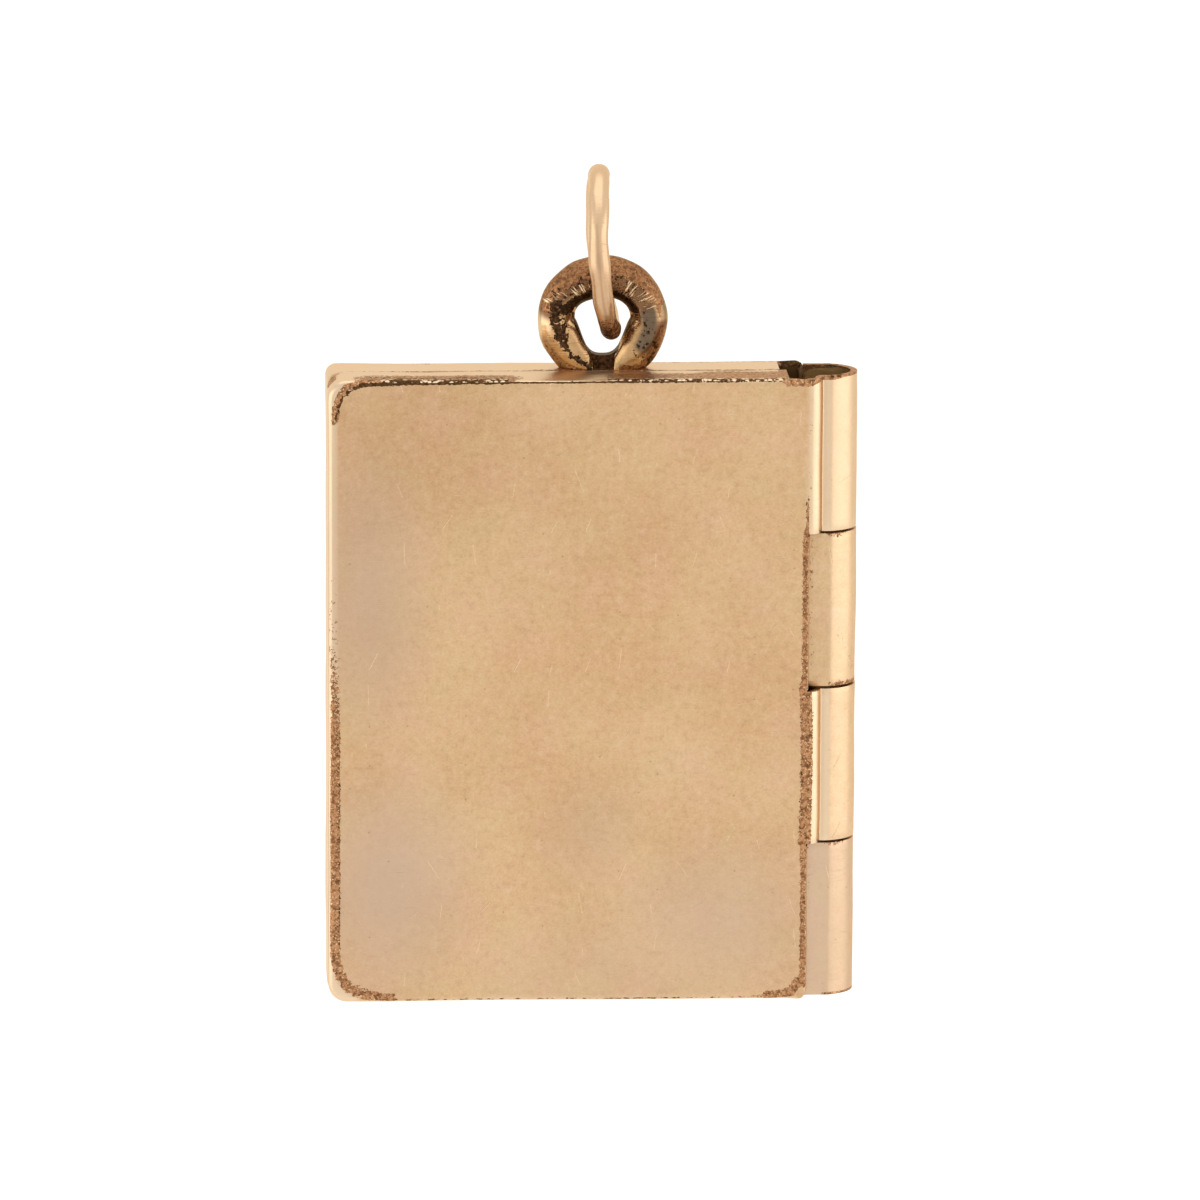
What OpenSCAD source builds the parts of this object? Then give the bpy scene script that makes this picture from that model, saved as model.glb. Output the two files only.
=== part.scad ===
// Book-shaped locket of rolled gold-filled sheet, closed, with a plain front cover.
// Millimetres. X runs from the open edge to the spine, Y from the front cover to the
// back cover and Z up. The origin is the inside top of the jump ring, where a chain
// holds it, and the plane Y = 0 is the plane of the bail.

/* [Covers] */
// Width of a cover, from the open edge to the shoulder of the spine
cover_w = 19.2; // [17:0.1:24]
// Height of a cover
cover_h = 25.3; // [20:0.1:34]
// Thickness of the closed book, over both covers
book_t = 4.3; // [4.2:0.1:5]
// Thickness of the sheet
sheet_t = 0.4; // [0.35:0.05:0.45]
// Gap along the seam between the two covers
seam_gap = 0.05; // [0.05:0.01:0.15]
// Corner radius of a cover at the open edge
open_corner_r = 0.75; // [0.5:0.05:1.5]
// Corner radius of a cover beside the spine
spine_corner_r = 0.4; // [0.2:0.05:0.6]
// Radius of the edge between a cover's face and its walls
edge_r = 0.4; // [0.2:0.05:0.6]

/* [Spine] */
// Number of knuckles, rolled in turn from the front and the back sheet
knuckle_count = 4; // [2:2:6]
// Outer radius of a knuckle
knuckle_r = 1.5; // [1.4:0.05:1.6]
// Wall thickness of a knuckle
roll_t = 0.35; // [0.3:0.05:0.4]
// Gap between neighbouring knuckles
knuckle_gap = 0.1; // [0.05:0.01:0.2]
// Distance of the spine axis from the edge of the covers
axis_out = 0.5; // [0.4:0.05:0.6]
// Distance of a wall's end from the spine axis, where it swings past the other cover's knuckle
far_wall_end = 1.62; // [1.6:0.02:2]
// Distance of a wall's end from the spine axis, beside the cover's own knuckle
near_wall_end = 1.36; // [1.3:0.02:2]
// Radius of the hinge pin
pin_r = 1.1; // [0.9:0.01:1.1]
// Depth of the pin's ends below the ends of the spine
pin_inset = 1; // [0.8:0.1:2]

/* [Bail] */
// Height of the bail's centre above the top edge of the covers
bail_rise = 1.95; // [1.8:0.05:2.1]
// Distance of the bail's centre from the open edge of the covers
bail_inset = 11.04; // [9:0.02:12]
// Outer radius of the bail
bail_r = 2.6; // [2.4:0.05:2.8]
// Half the thickness of the bail from front to back
bail_half_t = 0.74; // [0.6:0.02:0.8]
// Radius of the bail's round hole
bail_hole_r = 1.1; // [1:0.05:1.2]
// Part by which the lower sides of the hole are drawn in
bail_pinch = 0.16; // [0:0.02:0.2]
// Half the width of the slot between the two ends of the bail
bail_slot = 0.46; // [0.3:0.02:0.6]
// Depth of the web between the ends, below the bail's centre
bail_web_drop = 1.3; // [1.1:0.05:1.5]

/* [Jump ring] */
// Radius of the wire's centreline
ring_r = 3.1; // [2.8:0.05:3.4]
// Diameter of the wire
wire_d = 0.8; // [0.7:0.02:0.9]
// Distance by which the ring's lower end leans towards the spine
ring_lean = 0.52; // [0:0.02:0.54]
// Sideways bow of the front strand, away from the spine
ring_bow = 0.2; // [0:0.02:0.25]
// Angle of the open joint at the bottom of the ring, between the cut ends
ring_joint = 8; // [4:1:16]
// Distance from the inside top of the ring down to the covers' top edge
hang_drop = 7.36; // [7.3:0.02:7.5]

/* [Hidden] */
gold = "#d8b283";
worn_gold = "#b98a5e";
dark_gold = "#8a6540";
wire_gold = "#e6c99a";
round_fn = 48;
arc_steps = 6;
cut = 1;
top_z = -hang_drop;
bottom_z = top_z - cover_h;
left_x = ring_lean * 0.3 - bail_inset;
axis_x = left_x + cover_w + axis_out;
front_y = -3;
mid_y = front_y + book_t / 2;
face = book_t / 2;
under_face = face - sheet_t;
seam = seam_gap / 2;
axis_span = cover_w + axis_out;
pitch = cover_h / knuckle_count;
bore_r = knuckle_r - roll_t;
roll_start = 115;
roll_end = 246;
ring_z = -(ring_r - wire_d / 2);
bail_x = left_x + bail_inset;
bail_z = top_z + bail_rise;
bail_sink = 0.12;

// Points of a round corner from angle a0 to a1
function arc(c, r, a0, a1) =
    [for (i = [0 : arc_steps]) let (a = a0 + (a1 - a0) * i / arc_steps)
        [c[0] + r * cos(a), c[1] + r * sin(a)]];

// One cover with the knuckles rolled from its sheet, in its own frame: Z is the spine
// axis, X points out of the spine and Y out of the book. first is the row of its top
// knuckle, counted from the top, and low_end and high_end are its walls' ends.
module cover(first, low_end, high_end, low_corner, high_corner) {
    difference() {
        intersection() {
            cover_outline(low_corner, high_corner);
            cover_side_section();
            cover_top_section();
        }
        cover_hollow(low_end, high_end);
    }
    for (k = [first : 2 : knuckle_count - 1]) knuckle(k);
}

// The cover seen from the front, with its round corners
module cover_outline(low_corner, high_corner) {
    l = -axis_span;
    r = -axis_out;
    o = open_corner_r;
    translate([0, face, 0]) rotate([90, 0, 0]) linear_extrude(face - seam) polygon(concat(
        arc([l + o, o], o, 180, 270),
        arc([r - low_corner, low_corner], low_corner, 270, 360),
        arc([r - high_corner, cover_h - high_corner], high_corner, 0, 90),
        arc([l + o, cover_h - o], o, 90, 180)));
}

// The cover seen from the open edge, with the rounding along its top and bottom
module cover_side_section() {
    e = edge_r;
    translate([-axis_span - cut, 0, 0]) rotate([90, 0, 90]) linear_extrude(axis_span + cut)
        polygon(concat(
            [[0, 0]],
            arc([face - e, e], e, 270, 360),
            arc([face - e, cover_h - e], e, 0, 90),
            [[0, cover_h]]));
}

// The cover seen from above, with the rounding along its open edge
module cover_top_section() {
    e = edge_r;
    l = -axis_span;
    translate([0, 0, -cut]) linear_extrude(cover_h + 2 * cut) polygon(concat(
        [[0, 0], [0, face]],
        arc([l + e, face - e], e, 90, 180),
        [[l, 0]]));
}

// The hollow inside the walls, and the end of the top and bottom wall before the spine
module cover_hollow(low_end, high_end) {
    i = open_corner_r - sheet_t;
    l = -axis_span + sheet_t;
    top = cover_h - sheet_t;
    translate([0, under_face, 0]) rotate([90, 0, 0]) linear_extrude(face) polygon(concat(
        arc([l + i, sheet_t + i], i, 180, 270),
        [[cut, sheet_t], [cut, top]],
        arc([l + i, top - i], i, 90, 180)));
    translate([-low_end, under_face - face, -cut]) cube([low_end + cut, face, cut + 2 * sheet_t]);
    translate([-high_end, under_face - face, top - sheet_t])
        cube([high_end + cut, face, cut + 2 * sheet_t]);
}

// One knuckle: the sheet turns down from the face in a round shoulder and rolls round the pin
module knuckle(k) {
    low = k == knuckle_count - 1 ? 0 : knuckle_gap / 2;
    high = k == 0 ? 0 : knuckle_gap / 2;
    z = cover_h - (k + 1) * pitch + low;
    len = pitch - low - high;
    translate([0, 0, z]) difference() {
        union() {
            difference() {
                cylinder(r = knuckle_r, h = len, $fn = round_fn);
                translate([0, 0, -cut]) linear_extrude(len + 2 * cut) polygon(throat());
            }
            linear_extrude(len) polygon(shoulder());
        }
        translate([0, 0, -cut]) cylinder(r = bore_r, h = len + 2 * cut, $fn = round_fn);
    }
}

// The open side of a roll, towards the inside of the book
function throat() = let (r = 2 * knuckle_r) [
    [0, 0],
    [r * cos(roll_start), r * sin(roll_start)],
    [-r, r * sin(roll_start)],
    [-r, r * sin(roll_end)],
    [r * cos(roll_end), r * sin(roll_end)]];

// The shoulder between the face and the roll: a convex turn, a slope and a shallow valley
function shoulder() =
    let (
        turn = 55,
        r = 0.5,
        c = [-axis_out - 0.12, face - r],
        mid_r = knuckle_r - roll_t / 2,
        valley = 87)
    concat(
        [[-axis_out - edge_r, under_face], [-axis_out - edge_r, face]],
        [for (i = [0 : arc_steps]) let (a = 90 - turn * i / arc_steps)
            [c[0] + r * cos(a), c[1] + r * sin(a)]],
        [[knuckle_r * cos(valley), knuckle_r * sin(valley)],
         [mid_r * cos(valley), mid_r * sin(valley)],
         [mid_r * cos(roll_start - 3), mid_r * sin(roll_start - 3)],
         [-axis_out - 0.1, under_face]]);

module front_cover() {
    color(gold) translate([axis_x, mid_y, bottom_z]) mirror([0, 1, 0])
        cover(0, far_wall_end, near_wall_end, spine_corner_r, 0.01);
}

// The back cover and the bail soldered on its top wall
module back_cover() {
    color(worn_gold) {
        translate([axis_x, mid_y, bottom_z])
            cover(1, near_wall_end, far_wall_end, 0.01, spine_corner_r);
        bail();
    }
}

// Radius of the bail's hole at angle a from the top: round above, and drawn in below like
// a shield
function hole_r(a) =
    bail_hole_r * (1 - bail_pinch * max(0, sin(2 * a - 180)) * max(0, -cos(a)));

// One ring of points across the bail's tube at angle a from the top
function bail_section(a, sides) =
    let (
        inner = hole_r(min(a, 360 - a)),
        mid = (bail_r + inner) / 2,
        half = (bail_r - inner) / 2)
    [for (j = [0 : sides - 1]) let (t = 360 * j / sides, r = mid + half * cos(t))
        [r * sin(a), bail_half_t * sin(t), r * cos(a)]];

module bail() {
    steps = 36;
    sides = 12;
    points = [for (i = [0 : steps - 1]) each bail_section(360 * i / steps, sides)];
    faces = [for (i = [0 : steps - 1], j = [0 : sides - 1])
        let (m = (i + 1) % steps, n = (j + 1) % sides)
        [i * sides + j, i * sides + n, m * sides + n, m * sides + j]];
    web_half_t = 0.3;
    floor_z = -bail_rise - bail_sink;
    slot_top = -bail_hole_r / 2;
    translate([bail_x, 0, bail_z]) difference() {
        polyhedron(points, faces);
        translate([-bail_r, -bail_r, floor_z - bail_r]) cube([2 * bail_r, 2 * bail_r, bail_r]);
        for (side = [-1, 1])
            translate([-bail_slot, side > 0 ? web_half_t : -web_half_t - cut, -bail_rise])
                cube([2 * bail_slot, cut, slot_top + bail_rise]);
        translate([-bail_slot, -cut, -bail_web_drop])
            cube([2 * bail_slot, 2 * cut, slot_top + bail_web_drop]);
    }
}

// A plain rod through all the knuckles, hidden inside the spine
module hinge_pin() {
    color(dark_gold) translate([axis_x, mid_y, bottom_z + pin_inset])
        cylinder(r = pin_r, h = cover_h - 2 * pin_inset, $fn = round_fn);
}

// Centre of the wire at angle a from the top, towards the front: the ring leans as it
// goes down, and its front strand bows a little
function ring_path(a) =
    let (drop = (1 - cos(a)) / 2)
    [ring_lean * pow(drop, 3) - ring_bow * max(0, sin(a)),
     -ring_r * sin(a),
     ring_z + ring_r * cos(a)];

// An open ring of round wire, bent shut with its two cut ends at the bottom
module jump_ring() {
    steps = 48;
    sides = 12;
    a0 = -180 + ring_joint / 2 - 8;
    a1 = a0 + 360 - ring_joint;
    points = [for (i = [0 : steps]) let (a = a0 + (a1 - a0) * i / steps, p = ring_path(a))
        for (j = [0 : sides - 1]) let (t = 360 * j / sides, r = wire_d / 2)
            [p[0] + r * sin(t), p[1] - r * cos(t) * sin(a), p[2] + r * cos(t) * cos(a)]];
    sides_faces = [for (i = [0 : steps - 1], j = [0 : sides - 1])
        let (n = (j + 1) % sides)
        [i * sides + j, (i + 1) * sides + j, (i + 1) * sides + n, i * sides + n]];
    start_face = [for (j = [0 : sides - 1]) j];
    end_face = [for (j = [sides - 1 : -1 : 0]) steps * sides + j];
    color(wire_gold) polyhedron(points, concat([start_face, end_face], sides_faces));
}

front_cover();
back_cover();
hinge_pin();
jump_ring();
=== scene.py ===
"""An antique gold-filled book locket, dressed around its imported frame."""

import math

import bmesh
import bpy
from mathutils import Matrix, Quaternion, Vector, noise


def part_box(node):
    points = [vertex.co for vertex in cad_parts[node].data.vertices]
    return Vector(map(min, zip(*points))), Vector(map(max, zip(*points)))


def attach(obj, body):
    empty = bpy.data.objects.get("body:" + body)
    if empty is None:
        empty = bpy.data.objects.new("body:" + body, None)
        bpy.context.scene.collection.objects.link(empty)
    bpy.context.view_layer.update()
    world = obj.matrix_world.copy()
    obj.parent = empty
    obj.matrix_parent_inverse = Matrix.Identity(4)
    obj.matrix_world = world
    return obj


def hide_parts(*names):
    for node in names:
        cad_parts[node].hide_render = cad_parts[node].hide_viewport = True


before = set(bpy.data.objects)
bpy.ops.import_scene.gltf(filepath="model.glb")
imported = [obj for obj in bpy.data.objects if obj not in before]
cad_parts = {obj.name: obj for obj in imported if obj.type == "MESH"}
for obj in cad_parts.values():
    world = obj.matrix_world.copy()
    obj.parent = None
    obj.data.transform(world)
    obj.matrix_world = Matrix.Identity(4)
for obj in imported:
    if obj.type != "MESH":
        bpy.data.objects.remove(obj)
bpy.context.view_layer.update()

# Back cover
# The back of the book is one shallow pan, stamped from brass sheet with a skin of gold
# rolled on it. Its second and fourth spine knuckle are tongues of the same sheet, curled
# round the pin from behind.
MM = 0.001
COVER_W = 19.2
COVER_H = 25.3

# height of the face over the plane where the covers meet, and half of the seam between them
FACE = 2.15
SEAM = 0.025
SHEET = 0.26

# radii of the front and the back cover's open corners, of the plate's corner beside the spine,
# and of the edge between the face and the walls
OPEN_CORNER = 0.75
BACK_CORNER = 0.42
SPINE_CORNER = 0.4
EDGE_R = 0.22

# the pin's axis stands this far beyond the pans; the top and bottom wall stop before it, nearer
# where the last knuckle is the cover's own and farther where it is the other cover's
AXIS_OUT = 0.5
NEAR_WALL = 1.36
FAR_WALL = 1.62
PIN_R = 1.1

# a knuckle's shoulder and the degrees it turns through, the degree its curl starts at, and how
# far from the axis its sheet ends and its flat stretch ends
KNUCKLES = 4
KNUCKLE_R = 1.5
KNUCKLE_GAP = 0.1
SHOULDER_R = 0.45
SHOULDER_TURN = 75
CURL_START = 75
ROLL_END = -0.6
FLAT_END = 0.41

# how flat the first stretch of each knuckle is, from the top one down
FLATNESS = (0.45, 1, 0.2, 0.1)

# beside the other cover's knuckles the plate is turned down: where the bend starts before the
# spine edge, and how far out and down its points lie from there
TURN_START = 0.12
TURNED_EDGE = ((0.05, 0), (0.09, 0.04), (0.115, 0.2), (0.125, 0.62))

PITCH = COVER_H / KNUCKLES
SPAN = COVER_W + AXIS_OUT
AXIS_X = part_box("hinge_pin")[0].x / MM + PIN_R
MID_Y = -0.85
BOTTOM_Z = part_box("front_cover")[0].z / MM

# fineness of the mesh
GRID = 0.3
EDGE_STEPS = 8
CORNER_STEPS = 10
MERGE = 0.0005


def spread(low, high, step):
    """Evenly spaced values from low to high, about step apart."""
    count = max(1, round(abs(high - low) / step))
    return [low + (high - low) * i / count for i in range(count + 1)]


def edge_profile(corner):
    """Inset and outward depth of the skin, in three stretches: the flat face inward of a corner
    radius, the turn of the edge, and the wall down to the seam."""
    flat = [(d, FACE) for d in spread(corner, EDGE_R, 0.1)]
    turn = []
    for i in range(1, EDGE_STEPS + 1):
        a = math.radians(90 * i / EDGE_STEPS)
        turn.append((EDGE_R * (1 - math.sin(a)), FACE - EDGE_R * (1 - math.cos(a))))
    wall = [(0, w) for w in spread(FACE - EDGE_R, SEAM, GRID)[1:]]
    return flat, turn, wall


def smooth(x):
    """0 below 0, 1 above 1 and a soft step between."""
    x = min(1, max(0, x))
    return x * x * (3 - 2 * x)


def roll_path(flatness):
    """The outer line of a knuckle: a steep shoulder down to a crease, a flat stretch, the sheet
    curled round the pin from the flat's far end, and its flat end on the other side.

    flatness is 1 where the first stretch is flat and 0 where it follows the curl."""
    start = -AXIS_OUT - 0.02
    centre = (start, FACE - SHOULDER_R)
    points = [(start - 0.05, FACE), (start, FACE)]
    for a in spread(90, 90 - SHOULDER_TURN, 7)[1:]:
        a = math.radians(a)
        points.append((centre[0] + SHOULDER_R * math.cos(a), centre[1] + SHOULDER_R * math.sin(a)))
    curl = math.radians(CURL_START)
    flat_u, flat_w = KNUCKLE_R * math.cos(curl), KNUCKLE_R * math.sin(curl)
    last = points[-1]
    drop = (last[1] - flat_w) / math.tan(math.radians(SHOULDER_TURN))
    crease = last[0] + drop
    for share in (0.4, 0.7, 0.88):
        points.append((last[0] + drop * share, last[1] + (flat_w - last[1]) * share))
    points += [(crease + 0.012, flat_w + 0.012), (crease + 0.05, flat_w)]
    for u in spread(crease + 0.05, flat_u - 0.02, 0.08)[1:]:
        swell = smooth((u - crease) / 0.15) * (math.sqrt(KNUCKLE_R ** 2 - u ** 2) - flat_w)
        points.append((u, flat_w + (1 - flatness) * swell))
    for a in [CURL_START - 1] + spread(CURL_START - 4, 4 - CURL_START, 5) + [1 - CURL_START]:
        a = math.radians(a)
        points.append((KNUCKLE_R * math.cos(a), KNUCKLE_R * math.sin(a)))
    points += [(u, -flat_w) for u in spread(flat_u - 0.02, ROLL_END, 0.08)]
    return points


def cover_skin(first, corner, low_end, high_end):
    """Outer skin of a cover as points and faces, in millimetres in the cover's own frame: across
    from the pin's axis, outward from the plane where the covers meet, and up from the bottom.

    first is the row of the top knuckle that this cover carries, counted from the top, corner
    is the radius of its two open corners, and low_end and high_end are where its bottom and
    top wall stop before the spine axis."""
    flat, turn, wall = edge_profile(corner)
    paths = [roll_path(flatness) for flatness in FLATNESS]
    plate_end = -AXIS_OUT - TURN_START
    columns = spread(-SPAN + corner, -FAR_WALL - 0.5, GRID)[:-1]
    columns += spread(-FAR_WALL - 0.5, -FAR_WALL, 0.1)[:-1]
    columns += spread(-FAR_WALL, -NEAR_WALL, 0.09)[:-1]
    columns += spread(-NEAR_WALL, plate_end, 0.12)
    plate_col = len(columns) - 1

    side = [(d, w, "flat", d) for d, w in flat]
    side += [(d, w, "turn", EDGE_R * (1 - (i + 1) / EDGE_STEPS)) for i, (d, w) in enumerate(turn)]
    side += [(d, w, "wall", 0) for d, w in wall]
    cuts = []
    for k in range(1, KNUCKLES):
        z = COVER_H - k * PITCH
        cuts += [z - KNUCKLE_GAP / 2, z + KNUCKLE_GAP / 2]
    marks = [corner] + sorted(cuts) + [COVER_H - corner]
    middle = [marks[0]]
    for a, b in zip(marks, marks[1:]):
        middle += spread(a, b, GRID)[1:]
    rows = [("low", d, w, kind, zf) for d, w, kind, zf in reversed(side)]
    rows += [("mid", 0, FACE, "flat", z) for z in middle[1:-1]]
    rows += [("high", d, w, kind, COVER_H - zf) for d, w, kind, zf in side]

    def zone(z):
        """The knuckle at a height, counted from the top."""
        return min(KNUCKLES - 1, max(0, int((COVER_H - z) / PITCH)))

    def own(z):
        """Whether the knuckle at a height is rolled from this cover."""
        return zone(z) % 2 == first

    def in_slit(z0, z1):
        """Whether a row of faces lies in the slit between two knuckles."""
        between = (z0 + z1) / 2
        return any(abs(between - (COVER_H - k * PITCH)) < KNUCKLE_GAP / 4 for k in range(1, KNUCKLES))

    def place(col, row):
        """Where the point at a column and a row lies."""
        which, d, w, kind, z_flat = row
        if col <= plate_col:
            u = columns[col]
            end = -(low_end if which == "low" else high_end)
            bent = 0 if which == "mid" else 1 - smooth((u - end) / (plate_end - end))
            z_bent = d if which == "low" else COVER_H - d
            if kind == "wall":
                top_w = FACE - EDGE_R * bent
                depth = SEAM + (w - SEAM) / (FACE - EDGE_R - SEAM) * (top_w - SEAM)
                return [u, depth, z_bent]
            if which == "mid":
                return [u, FACE, z_flat]
            return [u, bent * w + (1 - bent) * FACE, bent * z_bent + (1 - bent) * z_flat]
        step = col - plate_col - 1
        if own(z_flat):
            return [*paths[zone(z_flat)][step], z_flat]
        out, down = TURNED_EDGE[min(len(TURNED_EDGE) - 1, step)]
        return [plate_end + out, FACE - down, z_flat]

    points, faces, index = [], [], {}

    def vertex(key, where):
        """The number of the point with this key, which is added where it is new."""
        if key not in index:
            index[key] = len(points)
            points.append(where)
        return index[key]

    def corner_round(p):
        """Round off the plate's corner beside the spine, at the end where the last knuckle is
        the other cover's."""
        u0, z_high = -AXIS_OUT, not own(COVER_H)
        a = (p[0] - (u0 - SPINE_CORNER)) / SPINE_CORNER
        z = p[2] if z_high else COVER_H - p[2]
        b = (z - (COVER_H - SPINE_CORNER)) / SPINE_CORNER
        if 0 < a < 1.05 and 0 < b <= 1:
            a = min(1, a)
            p[0] = u0 - SPINE_CORNER + SPINE_CORNER * a * math.sqrt(1 - b * b / 2)
            z = COVER_H - SPINE_CORNER + SPINE_CORNER * b * math.sqrt(1 - a * a / 2)
            p[2] = z if z_high else COVER_H - z
        return p

    # the face, its rolled edges, the walls above and below, and the knuckles
    last_col = plate_col + len(paths[0])
    for j in range(len(rows) - 1):
        r0, r1 = rows[j], rows[j + 1]
        is_wall = "wall" in (r0[3], r1[3])
        height = (r0[4] + r1[4]) / 2
        for i in range(last_col):
            if is_wall:
                end = -(low_end if r0[0] == "low" else high_end)
                if i + 1 > plate_col or columns[i + 1] > end + 1e-6:
                    continue
            elif i + 1 > plate_col + 1:
                if in_slit(r0[4], r1[4]):
                    continue
                if not own(height) and i + 1 > plate_col + len(TURNED_EDGE):
                    continue
            face = []
            for c, r in [(i, j), (i + 1, j), (i + 1, j + 1), (i, j + 1)]:
                p = place(c, rows[r])
                if not is_wall and (i + 1 <= plate_col + 2 or not own(height)):
                    p = corner_round(p)
                key = ("m", c, r) if c <= plate_col else ("m", c, r, zone(height))
                face.append(vertex(key, p))
            faces.append(face)

    # the open edge: its straight stretch, and the two round corners
    for j in range(len(middle) - 1):
        for i in range(len(side) - 1):
            face = []
            for s, r in [(i + 1, j), (i, j), (i, j + 1), (i + 1, j + 1)]:
                d, w = side[s][0], side[s][1]
                face.append(vertex(("s", s, r), [-SPAN + d, w, middle[r]]))
            faces.append(face)
    for top in (False, True):
        for q in range(CORNER_STEPS):
            for i in range(len(side) - 1):
                face = []
                for s, r in [(i + 1, q), (i, q), (i, q + 1), (i + 1, q + 1)]:
                    d, w = side[s][0], side[s][1]
                    a = math.radians(90 * r / CORNER_STEPS)
                    radius = corner - d
                    u = -SPAN + corner - radius * math.cos(a)
                    z = corner - radius * math.sin(a)
                    face.append(vertex(("c", top, s, r), [u, w, COVER_H - z if top else z]))
                faces.append(face if top else face[::-1])
    return points, faces


def cover_mesh(name, first, corner, low_end, high_end, out):
    """A cover's skin in place in metres, thickened to sheet, with its cut edges softened, and its
    points in the cover's own frame.

    out is -1 for the front cover and 1 for the back."""
    points, faces = cover_skin(first, corner, low_end, high_end)
    mesh = bpy.data.meshes.new(name)
    mesh.from_pydata([(p[0], p[1], p[2]) for p in points], [], faces)
    bm = bmesh.new()
    bm.from_mesh(mesh)
    bmesh.ops.remove_doubles(bm, verts=bm.verts, dist=MERGE)
    bmesh.ops.dissolve_degenerate(bm, edges=bm.edges, dist=MERGE)
    bmesh.ops.recalc_face_normals(bm, faces=bm.faces)
    plate = [f for f in bm.faces if abs(f.normal.y) > 0.9 and f.calc_center_median().y > 2]
    if sum((f.normal * f.calc_area() for f in plate), Vector()).y < 0:
        bmesh.ops.reverse_faces(bm, faces=bm.faces)

    # hand-worked sheet is slightly wavy
    for v in bm.verts:
        ripple = noise.noise(Vector((v.co.x * 0.35, v.co.y * 0.35, v.co.z * 0.35 + 7 * first)))
        fine = noise.noise(Vector((v.co.x * 1.7, v.co.y * 1.7 + 3, v.co.z * 1.7)))
        v.co += v.normal * (0.03 * ripple + 0.008 * fine)
    local = [v.co.copy() for v in bm.verts]
    for v in bm.verts:
        v.co = Vector((AXIS_X + v.co.x, MID_Y + out * v.co.y, BOTTOM_Z + v.co.z)) * MM
    if out < 0:
        bmesh.ops.reverse_faces(bm, faces=bm.faces)
    bm.to_mesh(mesh)
    bm.free()
    mesh.shade_smooth()
    piece = bpy.data.objects.new(name, mesh)
    bpy.context.scene.collection.objects.link(piece)
    thick = piece.modifiers.new("sheet thickness", "SOLIDIFY")
    thick.thickness = SHEET * MM
    thick.offset = -1
    thick.use_even_offset = True
    soft = piece.modifiers.new("worn cut edges", "BEVEL")
    soft.width = 0.05 * MM
    soft.segments = 2
    soft.limit_method = "ANGLE"
    soft.angle_limit = math.radians(50)
    soft.harden_normals = False
    return piece, local


def hex_linear(code):
    """An sRGB hex colour as linear red, green, blue and alpha."""
    parts = [int(code[i:i + 2], 16) / 255 for i in (1, 3, 5)]
    return tuple(c / 12.92 if c <= 0.04045 else ((c + 0.055) / 1.055) ** 2.4 for c in parts) + (1,)


def add(tree, kind, inputs, out=0, **settings):
    """Add a shader node with its settings, set or link its inputs, and give one of its outputs."""
    made = tree.nodes.new("ShaderNode" + kind)
    for key, value in settings.items():
        setattr(made, key, value)
    for key, value in inputs.items():
        if isinstance(value, bpy.types.NodeSocket):
            tree.links.new(value, made.inputs[key])
        elif isinstance(value, str):
            made.inputs[key].default_value = hex_linear(value)
        else:
            made.inputs[key].default_value = value
    return made.outputs[out]


# grain of the metal, each with its grains to the millimetre, its detail and its roughness; the
# finest are drawn about twice as coarse as real grinding marks, so that they show
GRAINS = {
    "cloud": (0.2, 2, 0.5), "drift": (0.55, 3, 0.6), "patch": (0.9, 4, 0.6), "blotch": (1.7, 2, 0.5),
    "weave": (3.4, 3, 0.7), "crust": (7.5, 3, 0.7), "speck": (8.5, 3, 0.72), "fleck": (11.0, 2, 0.6),
    "pits": (6.3, 3, 0.65), "burn": (4.1, 4, 0.75),
}

# what is painted on the points of a piece, each from 0 to 1
LAYERS = ("wear", "soot", "beads", "polish", "blush", "shade")

# depth of the relief that the materials give the surface
RELIEF = 0.035


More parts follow.
